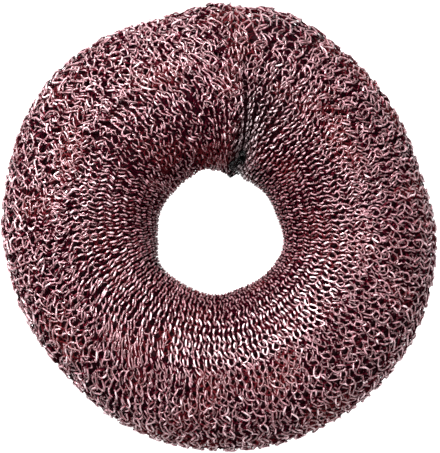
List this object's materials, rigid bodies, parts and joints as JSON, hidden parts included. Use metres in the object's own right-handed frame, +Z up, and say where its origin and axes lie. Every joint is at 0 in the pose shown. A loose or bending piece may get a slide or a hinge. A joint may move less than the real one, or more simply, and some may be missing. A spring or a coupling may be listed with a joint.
{
  "type": "hair donut bun maker",
  "caption": "Soft ring of rolled, knitted nylon net that hair is wrapped round to shape a bun; the ponytail goes through its hole.",
  "frame": {"origin": "middle of the ring's outline, on the surface that it lies on", "axes": "+Z up, along the hole's axis; +Y from the hole towards the join, which is at the top of the picture"},
  "size_m": [0.0892, 0.0914, 0.03],
  "materials": {
    "net": "knitted nylon monofilament, glossy dusty-rose burgundy",
    "core_net": "rolled knitted nylon net, dark burgundy",
    "thread": "spun sewing thread, blue-black, matt"
  },
  "bodies": {
    "root": {"net_sleeve": "net", "rolled_core": "core_net", "tie_thread": "thread"}
  },
  "joints": []
}
